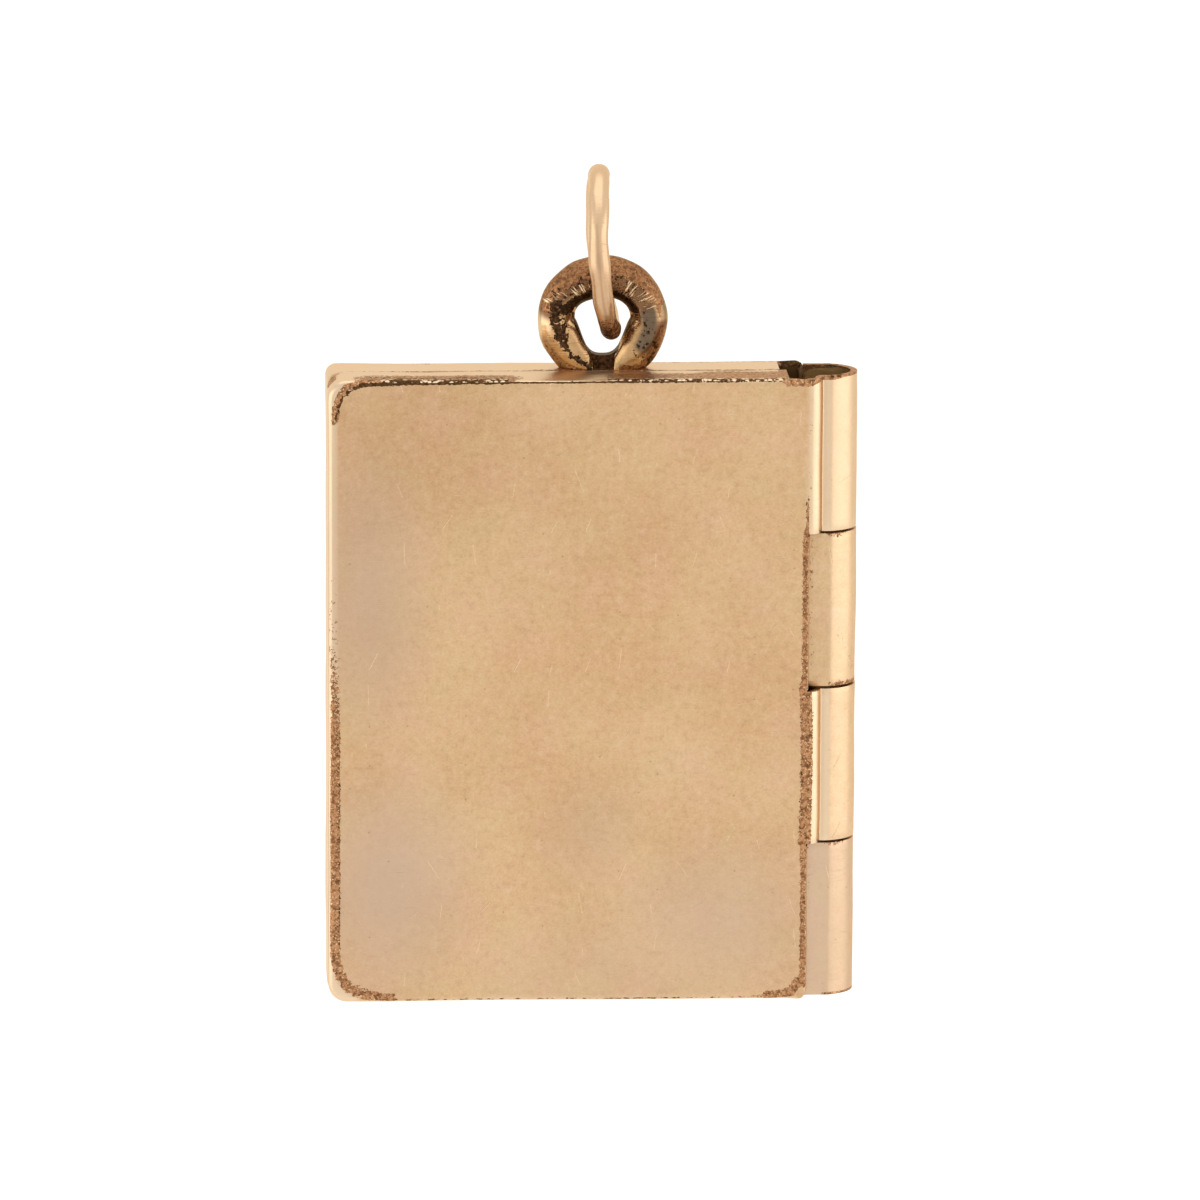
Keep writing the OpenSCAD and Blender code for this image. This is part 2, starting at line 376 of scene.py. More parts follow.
def aged_gold(name, tones, rough, rim_rough, shaded="shade", streaked=False):
    """Gold rolled on brass: satin where it is flat, bright where fingers rub it and where a highlight
    is painted, copper brown where the skin is rubbed through, and dark where dirt sits in the pits
    and where shade is painted into hollows.

    rough and rim_rough are its roughness where it is plain and where it is polished, shaded is
    the layer that browns it, and streaked gives it bright streaks in place of beads."""
    material = bpy.data.materials.new(name)
    material.use_nodes = True
    tree = material.node_tree
    shader = tree.nodes["Principled BSDF"]
    shader.inputs["Specular Tint"].default_value = hex_linear("#FCE9D0")
    soft = {"interpolation_type": "SMOOTHSTEP"}
    blend = {"out": "Result", "data_type": "RGBA"}
    coord = add(tree, "TexCoord", {}, "Object")
    place = add(tree, "VectorMath", {0: coord, "Scale": 1 / MM}, operation="SCALE")
    grain, painted = {}, {}
    for label, (scale, detail, harsh) in GRAINS.items():
        grain[label] = add(tree, "TexNoise",
                           {"Vector": place, "Scale": scale, "Detail": detail, "Roughness": harsh})
    for label in LAYERS:
        source = shaded if label == "shade" else label
        painted[label] = add(tree, "Attribute", {}, "Fac", attribute_name=source)

    # broad tone of the gold: cloudy patches that drift from greenish to pink, and the painted tint
    mask = add(tree, "MapRange", {"Value": grain["cloud"], "From Min": 0.36, "From Max": 0.66}, **soft)
    colour = add(tree, "Mix", {"Factor": mask, "A": tones["face"], "B": tones["pale"]}, **blend)
    for label, low, high, most, tone in (
            ("drift", 0.5, 0.66, 0.35, "pink"), ("drift", 0.5, 0.34, 0.3, "green"),
            ("patch", 0.35, 0.7, 0.3, "pale"),
            ("weave", 0.5, 0.7, 0.14, "brown"), ("weave", 0.5, 0.3, 0.2, "rim"),
            ("fleck", 0.5, 0.66, 0.09, "brown"), ("fleck", 0.5, 0.34, 0.12, "rim")):
        mask = add(tree, "MapRange",
                   {"Value": grain[label], "From Min": low, "From Max": high, "To Max": most}, **soft)
        colour = add(tree, "Mix", {"Factor": mask, "A": colour, "B": tones[tone]}, **blend)
    for label, most, tone in (("polish", 0.85, "rim"), ("blush", 0.8, "tint"), ("shade", 1, "brown")):
        mask = add(tree, "Math", {0: painted[label], 1: most}, operation="MULTIPLY")
        colour = add(tree, "Mix", {"Factor": mask, "A": colour, "B": tones[tone]}, **blend)

    # the skin rubbed through: the more wear is painted, the more of the fine grain it takes in,
    # dark where it has just broken through and copper with bright flecks where it is bare
    ragged = add(tree, "Math", {0: grain["blotch"], 1: 0.15, 2: -0.75}, operation="MULTIPLY_ADD")
    ragged = add(tree, "Math", {0: grain["speck"], 1: 0.85, 2: ragged}, operation="MULTIPLY_ADD")
    level = add(tree, "Math", {0: painted["wear"], 1: 0.5, 2: ragged}, operation="MULTIPLY_ADD")
    worn = add(tree, "MapRange", {"Value": level, "From Min": -0.012, "From Max": 0.012}, **soft)
    mask = add(tree, "MapRange", {"Value": grain["crust"], "From Min": 0.38, "From Max": 0.6}, **soft)
    bare = add(tree, "Mix", {"Factor": mask, "A": tones["brown"], "B": tones["copper"]}, **blend)
    mask = add(tree, "MapRange", {"Value": level, "From Max": 0.1, "To Min": 0.85, "To Max": 0}, **soft)
    bare = add(tree, "Mix", {"Factor": mask, "A": bare, "B": tones["brown"]}, **blend)
    for label, low, high, most, tone in (
            ("burn", 0.55, 0.64, 0.8, "burnt"), ("fleck", 0.6, 0.66, 0.85, "flake"),
            ("pits", 0.62, 0.68, 0.6, "flake")):
        mask = add(tree, "MapRange",
                   {"Value": grain[label], "From Min": low, "From Max": high, "To Max": most}, **soft)
        bare = add(tree, "Mix", {"Factor": mask, "A": bare, "B": tones[tone]}, **blend)
    colour = add(tree, "Mix", {"Factor": worn, "A": colour, "B": bare}, **blend)

    # dirt in the pits, painted shade in the bail's hollows, and bright metal standing out of them:
    # round beads that the rolled edge has broken into, or short marks that run out from the hole of the bail
    level = add(tree, "Math", {0: painted["soot"], 1: 0.5, 2: grain["pits"]}, operation="MULTIPLY_ADD")
    dirt_and_shade_mask = add(tree, "MapRange", {"Value": level, "From Min": 0.735, "From Max": 0.77}, **soft)
    if streaked:
        flow = add(tree, "Attribute", {}, "Vector", attribute_name="flow")
        shine = add(tree, "TexNoise", {"Vector": flow, "Scale": 1, "Detail": 2, "Roughness": 0.6})
        shine = add(tree, "MapRange", {"Value": shine, "From Min": 0.52, "From Max": 0.6}, **soft)
    else:
        cell = add(tree, "VectorMath", {0: place, 1: (1, 0.8, 1)}, operation="MULTIPLY")
        cell = add(tree, "TexVoronoi", {"Vector": cell, "Scale": 4.4, "Randomness": 0.9}, "Distance")
        cell = add(tree, "Math", {0: grain["speck"], 1: 0.3, 2: cell}, operation="MULTIPLY_ADD")
        shine = add(tree, "MapRange",
                    {"Value": cell, "From Min": 0.5, "From Max": 0.6, "To Min": 1, "To Max": 0}, **soft)
    bead = add(tree, "MapRange", {"Value": painted["beads"], "From Min": 0.3, "From Max": 0.6}, **soft)
    bead = add(tree, "Math", {0: bead, 1: shine}, operation="MULTIPLY")
    dirt_and_shade_mask = add(tree, "Math", {0: dirt_and_shade_mask, 1: bead}, operation="SUBTRACT", use_clamp=True)
    mask = add(tree, "MapRange",
               {"Value": grain["crust"], "From Min": 0.4, "From Max": 0.65, "To Max": 0.6}, **soft)
    dirt_and_shade_colour = add(tree, "Mix", {"Factor": mask, "A": tones["dark"], "B": tones["brown"]}, **blend)
    colour = add(tree, "Mix", {"Factor": dirt_and_shade_mask, "A": colour, "B": dirt_and_shade_colour}, **blend)
    colour = add(tree, "Mix", {"Factor": bead, "A": colour, "B": tones["rim"]}, **blend)

    # scattered short scratches, one to a cell and each turned its own way, and a few dark pinholes;
    # both are drawn 0.03 mm wide, about three times as wide as real ones, so that they show
    apart = add(tree, "SeparateXYZ", {0: place})
    flat = add(tree, "CombineXYZ", {0: apart, 1: apart.node.outputs["Z"]})
    cells = add(tree, "TexVoronoi", {"Vector": flat, "Scale": 0.7}, "Color", voronoi_dimensions="2D")
    chance = add(tree, "SeparateColor", {0: cells})
    around = add(tree, "VectorMath", {0: flat, 1: cells.node.outputs["Position"]}, operation="SUBTRACT")
    angle = add(tree, "Math", {0: chance, 1: math.pi}, operation="MULTIPLY")
    turned = add(tree, "VectorRotate", {"Vector": around, "Angle": angle}, rotation_type="Z_AXIS")
    turned = add(tree, "VectorMath", {0: turned}, operation="ABSOLUTE")
    turned = add(tree, "SeparateXYZ", {0: turned})
    length = add(tree, "Math", {0: chance.node.outputs["Green"], 1: 0.7, 2: -0.2}, operation="MULTIPLY_ADD")
    along = add(tree, "Math", {0: length, 1: turned}, operation="SUBTRACT")
    along = add(tree, "MapRange", {"Value": along, "From Max": 0.1}, **soft)
    across = add(tree, "MapRange", {"Value": turned.node.outputs["Y"], "From Min": 0.008, "From Max": 0.026,
                                    "To Min": 1, "To Max": 0}, **soft)
    scratch = add(tree, "Math", {0: along, 1: across}, operation="MULTIPLY")
    spot = add(tree, "TexVoronoi", {"Vector": flat, "Scale": 1.3}, "Distance", voronoi_dimensions="2D")
    rare = add(tree, "SeparateColor", {0: spot.node.outputs["Color"]})
    rare = add(tree, "Math", {0: rare, 1: 0.95}, operation="GREATER_THAN")
    spot = add(tree, "MapRange",
               {"Value": spot, "From Min": 0.02, "From Max": 0.07, "To Min": 0.4, "To Max": 0}, **soft)
    pinhole = add(tree, "Math", {0: spot, 1: rare}, operation="MULTIPLY")

    # neither shows on worn metal or on metal painted dark with dirt or with shade, and both are faint
    # on polished or highlighted metal
    clean = add(tree, "Math", {0: worn, 1: dirt_and_shade_mask}, operation="MAXIMUM")
    clean = add(tree, "Math", {0: 1, 1: clean}, operation="SUBTRACT")
    dull = add(tree, "Math", {0: painted["polish"], 1: -0.8, 2: 1}, operation="MULTIPLY_ADD")
    clean = add(tree, "Math", {0: clean, 1: dull}, operation="MULTIPLY")
    scratch = add(tree, "Math", {0: scratch, 1: clean}, operation="MULTIPLY")
    pinhole = add(tree, "Math", {0: pinhole, 1: clean}, operation="MULTIPLY")
    mask = add(tree, "Math", {0: scratch, 1: 0.32}, operation="MULTIPLY")
    colour = add(tree, "Mix", {"Factor": mask, "A": colour, "B": tones["rim"]}, **blend)
    colour = add(tree, "Mix", {"Factor": pinhole, "A": colour, "B": tones["brown"]}, **blend)
    tree.links.new(colour, shader.inputs["Base Color"])

    # roughness: from that of plain to that of polished or highlighted metal, and grain, wear, dirt
    # with painted shade, and scratches add to it
    gloss = add(tree, "MapRange", {"Value": painted["polish"], "To Min": rough, "To Max": rim_rough}, **soft)
    for amount, value in ((0.16, grain["patch"]), (0.12, worn), (0.22, dirt_and_shade_mask), (0.1, scratch)):
        gloss = add(tree, "Math", {0: value, 1: amount, 2: gloss}, operation="MULTIPLY_ADD")
    gloss = add(tree, "Math", {0: gloss, 1: 0.08}, operation="SUBTRACT")
    tree.links.new(gloss, shader.inputs["Roughness"])
    shader.inputs["Metallic"].default_value = 1

    # relief: faint hairlines across the cover, a crust on the worn metal, dirt and painted shade sunk,
    # beads raised
    hair = add(tree, "VectorMath", {0: place, 1: (0.5, 1, 16)}, operation="MULTIPLY")
    hair = add(tree, "TexNoise", {"Vector": hair, "Scale": 1.2, "Detail": 2, "Roughness": 0.5})
    hair = add(tree, "MapRange", {"Value": hair, "From Min": 0.6, "From Max": 0.72, "To Max": 0.2}, **soft)
    height = add(tree, "Math", {0: hair, 1: clean}, operation="MULTIPLY")
    crust = add(tree, "Math", {0: grain["crust"], 1: worn}, operation="MULTIPLY")
    for amount, value in ((0.12, grain["speck"]), (-0.5, scratch), (-0.35, worn), (0.8, crust),
                          (-0.6, dirt_and_shade_mask), (1.1, bead)):
        height = add(tree, "Math", {0: value, 1: amount, 2: height}, operation="MULTIPLY_ADD")
    bump = add(tree, "Bump", {"Height": height, "Strength": 0.8, "Distance": RELIEF * MM})
    tree.links.new(bump, shader.inputs["Normal"])
    return material


def paint(piece, **layers):
    """Keep one number a vertex for each named layer on the mesh, for the material to read."""
    for name, values in layers.items():
        layer = piece.data.attributes.new(name, "FLOAT", "POINT")
        layer.data.foreach_set("value", [min(1, max(0, v)) for v in values])


def nearest(p, line):
    """Distance of the point p, an (x, y) pair, from a broken line, and how far along it, 0 to 1."""
    best = (1e9, 0)
    for i, (a, b) in enumerate(zip(line, line[1:])):
        dx, dy = b[0] - a[0], b[1] - a[1]
        s = ((p[0] - a[0]) * dx + (p[1] - a[1]) * dy) / max(1e-9, dx * dx + dy * dy)
        s = min(1, max(0, s))
        away = math.hypot(p[0] - a[0] - s * dx, p[1] - a[1] - s * dy)
        best = min(best, (away, (i + s) / (len(line) - 1)))
    return best


def strongest(p, strokes):
    """The strongest at a point of the strokes, each a line, its half width, its fade beyond that
    and its strength at the first and the last point."""
    best = 0
    for line, half, fade, start, end in strokes:
        reach = half + fade
        if not min(q[0] for q in line) - reach < p[0] < max(q[0] for q in line) + reach:
            continue
        if not min(q[1] for q in line) - reach < p[1] < max(q[1] for q in line) + reach:
            continue
        away, share = nearest(p, line)
        best = max(best, (start + (end - start) * share) * (1 - smooth((away - half) / fade)))
    return best


def unrolled(p):
    """Where a point of the skin lies once its walls are folded flat outward: distance from the
    open edge and from the top edge, in millimetres, less than 0 down the walls."""
    u, w, z = p
    x, h, over = u + SPAN, COVER_H - z, max(0, FACE - w)
    if x > COVER_W:
        return x, h
    dx = min(0, x - OPEN_CORNER)
    dh = min(0, h - OPEN_CORNER) + max(0, h - COVER_H + OPEN_CORNER)
    size = math.hypot(dx, dh) or 1
    return x + over * dx / size, h + over * dh / size


# how bright each knuckle is rubbed, on its flatter side and on its round side
ROLL_POLISH = ((0.85, 0.65), (0.05, 0.4), (0.95, 0.45), (0.5, 0.35))


def bright_skin(p):
    """How bright the skin is: the rims and the knuckles are polished by handling."""
    u, w = p[0], p[1]
    x, h = unrolled(p)
    if u > -AXIS_OUT - 0.3:
        flat, round_side = ROLL_POLISH[min(KNUCKLES - 1, int(h / PITCH))]
        rubbed = flat + (round_side - flat) * smooth((u - FLAT_END + 0.08) / 0.1)
        return rubbed * smooth((u + AXIS_OUT + 0.2) / 0.25)
    h = min(h, COVER_H - h)
    corner = math.hypot(min(0, x - 1.35), min(0, h - 1.25)) - 1.0 if x < 1.35 and h < 1.25 else -1
    rims = smooth((0.42 - x) / 0.16), smooth((0.1 - h) / 0.14)
    return max(*rims, smooth(corner / 0.12), smooth((FACE - w) / 0.1))


def soft_spots(p, spots):
    """Soft round patches on the face, each x and depth from the top, two radii and a strength."""
    x, h = unrolled(p)
    return max(s * smooth(1 - math.hypot((x - cx) / rx, (h - cz) / rz)) for cx, cz, rx, rz, s in spots)


# pinker and browner clouds on the face of a cover
BLUSH_SPOTS = [
    (1.6, 8.5, 3.2, 8.0, 0.8), (2.4, 20.5, 4.8, 6.6, 1), (10.6, 18.5, 3.2, 3.6, 0.35), (12, 24, 10, 4, 0.4),
    (15.5, 22.0, 6.0, 5.0, 0.7),
]
SHADE_SPOTS = [
    (2, 2.5, 10, 9, 0.14), (1.5, 10.5, 4.5, 7, 0.1), (10.4, 18.6, 2.4, 3.0, 0.05), (8, 5, 9, 6, 0.05),
]

# gold rolled thin: a pinkish gold skin over copper-rich brass
GOLD = {
    "face": "#C8A177", "pale": "#CFAC83", "pink": "#D2A88A", "green": "#C6AC7C", "rim": "#DFC6A6",
    "copper": "#B98860", "brown": "#7C5436", "dark": "#46331C", "tint": "#BFA48D", "burnt": "#5A3C26",
    "flake": "#DEBE94",
}

# the same sheet from inside: bare brass that was never polished, duller and greener
BRASS = {
    "face": "#96774A", "pale": "#A48858", "pink": "#A07850", "green": "#8A7848", "rim": "#AC8C5C",
    "copper": "#7E5A36", "brown": "#6A5032", "dark": "#3A2A1C", "tint": "#8A6A44", "burnt": "#4A3420",
    "flake": "#A88458",
}
gold_sheet = aged_gold("rolled gold sheet", GOLD, 0.36, 0.32)
# inside, near_spine browns the hollow towards the spine: painted shade
brass_inside = aged_gold("dull brass inside", BRASS, 0.42, 0.5, shaded="near_spine")

# how dirty and how brown the edges are that are turned down beside the other cover's knuckles
EDGE_SOOT = 0.22
EDGE_BROWN = 0.5


def turned_down(p, first):
    """Whether a point lies on the turned-down edge beside a knuckle of the other cover."""
    beside = -AXIS_OUT - 0.1 < p[0] < -AXIS_OUT + 0.05 and p[1] < FACE - 0.03
    return beside and int((COVER_H - p[2]) / PITCH) % 2 != first


def roll_shade(p, first):
    """Brown on the turned-down edges, painted shade in the crease of a knuckle of the front cover,
    and brown on the flatter side of a knuckle of either cover."""
    u, w, z = p
    if turned_down(p, first):
        return EDGE_BROWN
    if w < 0.5:
        return 0
    flat = smooth((FLAT_END - u) / 0.04)
    upper = z > COVER_H / 2
    if first == 1:
        return 0.1 * flat if upper else 0.03 * flat
    # painted shade in the crease at the foot of the shoulder, deeper on the upper knuckle
    deep = 0.4 if upper else 0.2
    crease = deep * smooth((u + 0.12) / 0.05) * smooth((0.04 - u) / 0.05)
    return max(crease, 0.05 * flat * smooth((u + 0.08) / 0.05))


def dress_cover(piece, local, wear, soot, beads, roll_blush, first):
    """Paint a cover's wear and give it the gold outside and the dull brass inside.

    local holds its points in the cover's own frame, wear and soot are functions of a point,
    beads are strokes, roll_blush is how pink each knuckle is, and first is the row of the top
    knuckle that this cover carries."""
    blush, shade = [], []
    for p in local:
        row = min(KNUCKLES - 1, int((COVER_H - p[2]) / PITCH))
        if p[0] > -AXIS_OUT - 0.1:
            blush.append(roll_blush[row])
            shade.append(roll_shade(p, first))
        else:
            blush.append(soft_spots(p, BLUSH_SPOTS))
            shade.append(soft_spots(p, SHADE_SPOTS) if p[1] > FACE - 0.1 else 0)
    # near_spine is painted shade: darker inside towards the spine, almost none inside the knuckles
    paint(piece, wear=[wear(p) for p in local], soot=[soot(p) for p in local], blush=blush, shade=shade,
          beads=[strongest(unrolled(p), beads) for p in local], polish=[bright_skin(p) for p in local],
          near_spine=[0.8 * smooth((p[0] + 3.4) / 0.8) - 0.75 * smooth((p[0] + 0.7) / 0.3) for p in local])
    piece.data.materials.append(gold_sheet)
    piece.data.materials.append(brass_inside)
    piece.modifiers["sheet thickness"].material_offset = 1


# where the back cover is worn, in millimetres from its open edge and its top
BACK_WEAR = [
    ([(8.0, -2.0), (11.8, -2.0)], 0.12, 0.12, 0.7, 0.7), ([(1.0, -2.1), (19, -2.1)], 0.03, 0.05, 0.6, 0.6),
    ([(20.1, 12.56), (21.15, 12.56)], 0.05, 0.06, 0.8, 0.9),
    ([(19.95, 6.46), (20.7, 6.44)], 0.08, 0.08, 0.8, 0.5),
    ([(19.95, 19.13), (20.7, 19.1)], 0.08, 0.08, 0.8, 0.5),
    ([(19.9, 25.27), (21.15, 25.27)], 0.05, 0.05, 0.85, 0.85),
    ([(20.3, 10.2), (21.0, 12.0)], 0.1, 0.3, 0.22, 0.3), ([(19.3, 6.5), (19.35, 12.4)], 0.04, 0.12, 0.4, 0.3),
    ([(19.3, 19.2), (19.32, 22.0)], 0.02, 0.08, 0.35, 0.2),
    ([(0.2, 3.0), (0.2, 9.5), (0.2, 14.0)], 0.1, 0.14, 0.2, 0.6),
    ([(0.25, 19.5), (0.45, 24.1), (1.0, 24.8), (3.0, 25.2)], 0.12, 0.12, 0.5, 0.85),
    ([(0.4, 1.6), (0.75, 0.5), (1.6, 0.1), (4.2, -0.1)], 0.1, 0.1, 0.6, 0.8),
    ([(12.5, -0.2), (18.8, -0.1)], 0.14, 0.12, 0.5, 0.6),
    ([(19.1, 12.6), (19.1, 19.0)], 0.12, 0.1, 0.8, 0.8), ([(19.1, 0.4), (19.1, 6.2)], 0.06, 0.1, 0.4, 0.6),
    ([(15.5, 25.2), (18.4, 25.2), (19.0, 24.7)], 0.12, 0.1, 0.5, 0.85),
]


def back_wear(p):
    """How far the back cover's gold is rubbed through at a point."""
    value = strongest(unrolled(p), BACK_WEAR)
    return 0.3 * value if turned_down(p, 1) else value


def back_soot(p):
    """How much dirt the back cover has at a point: on its top wall beside the spine, and little on
    its turned-down edges."""
    u, w, z = p
    if turned_down(p, 1):
        return EDGE_SOOT
    if u > -1.4 and FACE - 0.02 > w > 0 and z > COVER_H - 0.3:
        return 0.9
    return 0.95 if u > -1.5 and w > 0 and z > COVER_H - 0.06 else 0


back_cover, back_local = cover_mesh("back_cover_sheet", 1, BACK_CORNER, NEAR_WALL, FAR_WALL, 1)
dress_cover(back_cover, back_local, back_wear, back_soot, [], (0, 0.05, 0, 0.6), 1)
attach(back_cover, "back")
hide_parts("back_cover")

# Bail
# A fat ring formed hollow from two stampings and soldered on the back cover's top wall,
# with its two ends cut flat and a narrow slot between them. Its crown is tarnished, and
# the slot and the hollow of the crown are painted black: dirt, and painted shade where
# their inner faces lie in shadow.
BAIL_RISE = 1.95
BAIL_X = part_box("back_cover")[0].x / MM + 11.04
BAIL_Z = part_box("front_cover")[1].z / MM + BAIL_RISE
BAIL_R = 2.6
BAIL_HALF = 0.74
BAIL_FOOT = -BAIL_RISE - 0.06

# half of the slot, and the radius that it is measured at to space the mesh
BAIL_SLOT = 0.43
SLOT_AT = 1.42

# the hole: its radius above and how much wider it gets at the sides, then how far out its
# straight lower sides are at the height of the centre, and their slope
HOLE_TOP = 0.9
HOLE_WIDER = 0.22
HOLE_SIDE = 1.12
HOLE_SLOPE = 0.476


def bail_hole(a):
    """Radius of the hole at angle a from the top: low and round above, with straight sides
    that run together below."""
    if a < math.pi / 2:
        return HOLE_TOP + HOLE_WIDER * smooth((math.degrees(a) - 20) / 55)
    return HOLE_SIDE / (math.sin(a) - HOLE_SLOPE * math.cos(a))


def bail_mesh():
    """The ring of the bail as points and faces in millimetres about its own centre."""
    around, across = 240, 64
    points, faces = [], []
    start = math.asin(BAIL_SLOT / SLOT_AT)
    for i in range(around + 1):
        even = -math.pi + start + (2 * math.pi - 2 * start) * i / around
        inner = bail_hole(abs(even))
        mid, half = (BAIL_R + inner) / 2, (BAIL_R - inner) / 2

        # the section is round above, and squarer towards the hole on the two lower lobes
        square = 0.62 * smooth((math.degrees(abs(even)) - 78) / 30)
        for j in range(across):
            t = 2 * math.pi * j / across
            r = mid + half * math.cos(t)
            turn = even * (math.pi - math.asin(BAIL_SLOT / r)) / (math.pi - start)
            depth = abs(math.sin(t)) ** (1 - (square if math.cos(t) < 0 else 0))
            y = BAIL_HALF * math.copysign(depth, math.sin(t))
            if math.cos(t) < 0:
                y *= 1 - 0.12 * square * math.cos(t) ** 2
            x, z = r * math.sin(turn), r * math.cos(turn)
            points.append((x, y, max(z, BAIL_FOOT)))
    for i in range(around):
        for j in range(across):
            n = (j + 1) % across
            faces.append((i * across + j, (i + 1) * across + j, (i + 1) * across + n, i * across + n))
    faces.append(tuple(range(across)))
    faces.append(tuple(reversed(range(around * across, (around + 1) * across))))
    return points, faces


def solid_piece(name, points, faces, rough=0.0, shift=0):
    """A closed piece from points in metres, its faces turned outward and its skin made slightly
    uneven, rough being the height in millimetres and shift where in the noise it is taken."""
    mesh = bpy.data.meshes.new(name)
    mesh.from_pydata(points, [], faces)
    bm = bmesh.new()
    bm.from_mesh(mesh)
    bmesh.ops.recalc_face_normals(bm, faces=bm.faces)
    bm.normal_update()
    for v in bm.verts:
        at = v.co / MM
        v.co += v.normal * (rough * MM * noise.noise(Vector((at.x * 0.9 + shift, at.y * 0.9, at.z * 0.9))))
    bm.to_mesh(mesh)
    bm.free()
    mesh.shade_smooth()
    piece = bpy.data.objects.new(name, mesh)
    bpy.context.scene.collection.objects.link(piece)
    return piece


bail_points, bail_faces = bail_mesh()
bail = solid_piece("ring_bail", [Vector((BAIL_X + x, y, BAIL_Z + z)) * MM for x, y, z in bail_points],
                   bail_faces, 0.07)
bail_spots = [(x, z) for x, y, z in bail_points]

# where its gold is rubbed through, in millimetres right of and above its centre, as is all below
TARNISH = [
    ([(-2.3, 0.75), (-1.8, 1.5), (-1.06, 2.05), (0, 2.3), (1.05, 2.1), (1.8, 1.5), (2.3, 0.5)],
     0.26, 0.28, 0.8, 0.85),
    ([(-0.9, 1.35), (0, 1.6), (0.9, 1.35)], 0.3, 0.25, 0.5, 0.5),
    ([(-2.4, -0.9), (-1.8, -1.86)], 0.12, 0.2, 0.4, 0.6),
    ([(2.3, -0.5), (1.95, -1.5), (1.6, -2.0)], 0.2, 0.2, 0.8, 0.8),
    ([(1.22, 0.05), (1.1, -0.4), (0.95, -0.75)], 0.05, 0.12, 0.7, 0.4),
    ([(0.7, -1.85), (2, -1.95)], 0.08, 0.1, 0.7, 0.8), ([(-2, -1.95), (-0.6, -1.95)], 0.04, 0.1, 0.7, 0.7),
]

# where it is browned: by tarnish, and on the glossy middle of the crown also by a painted dark
# reflection
BROWNED_AND_DARK_REFLECTION = [
    # the middle of the crown: tarnish brown and a painted dark reflection
    ([(-2.15, 0.55), (-1.9, 1.0), (-1.3, 1.5), (-0.5, 1.8), (0.5, 1.8), (1.2, 1.45), (1.6, 0.9)],
     0.3, 0.35, 0.95, 0.85),
    ([(2.42, -0.3), (2.25, -1.0), (1.9, -1.7)], 0.24, 0.2, 0.95, 0.85),
    ([(-2.4, -0.8), (-2.05, -1.5), (-1.6, -2)], 0.1, 0.3, 0.4, 0.7),
    ([(0.7, -1.8), (1.4, -1.95)], 0.05, 0.2, 0.2, 0.5), ([(-1.3, -0.4), (-0.7, -1.7)], 0.05, 0.3, 0.1, 0.3),
]

# where it is painted black: dirt on the crown and the flanks, and painted shade with dirt along
# the edge of the hole and at the slot
BLACK = [
    ([(-1.98, 0.75), (-1.82, 0.1), (-1.66, -0.6)], 0.24, 0.2, 0.56, 0.56),
    ([(-1.98, 0.6), (-1.85, -0.2), (-1.68, -0.8)], 0.06, 0.18, 0.85, 0.75),
    ([(-1.7, -0.7), (-1.35, -1.3), (-0.55, -1.85)], 0.05, 0.2, 0.66, 0.66),
    # painted shade with dirt: the dark inner edge of the hole above, where its inner face lies in shadow, the
    # hollow inside it, and the straight lower sides of the hole
    ([(-1.5, 0.5), (-1.06, 0.85), (-0.5, 1.1), (0, 1.13)], 0.15, 0.14, 0.95, 0.95),
    ([(0, 1.13), (0.4, 1.1), (0.9, 0.85), (1.25, 0.45)], 0.1, 0.14, 0.95, 0.95),
    ([(-0.8, 0.55), (0, 0.9), (0.8, 0.55)], 0.25, 0.1, 1, 1),
    ([(-1.2, 0.3), (-1.08, -0.13), (-0.54, -1.26)], 0.04, 0.07, 0.95, 0.9),
    ([(1.16, 0.2), (1.06, -0.1), (0.5, -1.3)], 0.02, 0.05, 0.9, 0.9),
    ([(1.75, 0.2), (1.85, -0.4), (1.45, -1.2)], 0.2, 0.25, 0.3, 0.4),
    ([(2.1, -0.9), (1.8, -1.7)], 0.08, 0.15, 0.5, 0.5),
    ([(0.4, 1.7), (1.5, 1.05)], 0.2, 0.25, 0.4, 0.36), ([(-1.8, 1.1), (-0.6, 1.7)], 0.2, 0.25, 0.42, 0.4),
    # painted shade with dirt along the edge of the slot, deep in shadow
    ([(-0.5, -1.3), (-0.5, -2)], 0.03, 0.06, 0.9, 0.9),
]

# a bluish grey patch on the right, short bright marks on the crown, and a painted highlight on
# the left flank
GREY = [
    ([(1.8, 0.35), (1.92, -0.3), (1.6, -0.95)], 0.2, 0.3, 0.9, 0.8),
    ([(2.45, 0.5), (2.42, -0.1)], 0.08, 0.15, 0.6, 0.4),
]
GLINTS = [
    ([(-2.25, 0.92), (-1.6, 1.05)], 0.12, 0.16, 0.6, 0.5),
    ([(-1.2, 1.2), (-0.75, 1.4)], 0.14, 0.16, 0.6, 0.6),
    ([(0.85, 1.4), (1.45, 1.05), (1.85, 0.75)], 0.24, 0.22, 0.6, 0.45),
]
FLANK_HIGHLIGHT = [([(-2.5, 0.6), (-2.5, -0.2), (-2.35, -0.9)], 0.22, 0.2, 1, 0.6)]

# stamped gold gone brown: glossy, darker than the covers, and grey where it is tinted
BAIL_GOLD = {
    "face": "#B98E5C", "pale": "#C79E6E", "pink": "#B9825A", "green": "#A08A58", "rim": "#E2C79E",
    "copper": "#A1704A", "brown": "#6B4931", "dark": "#2A1D10", "tint": "#433E3B", "burnt": "#644428",
    "flake": "#B08458",
}
grey = [strongest(q, GREY) for q in bail_spots]
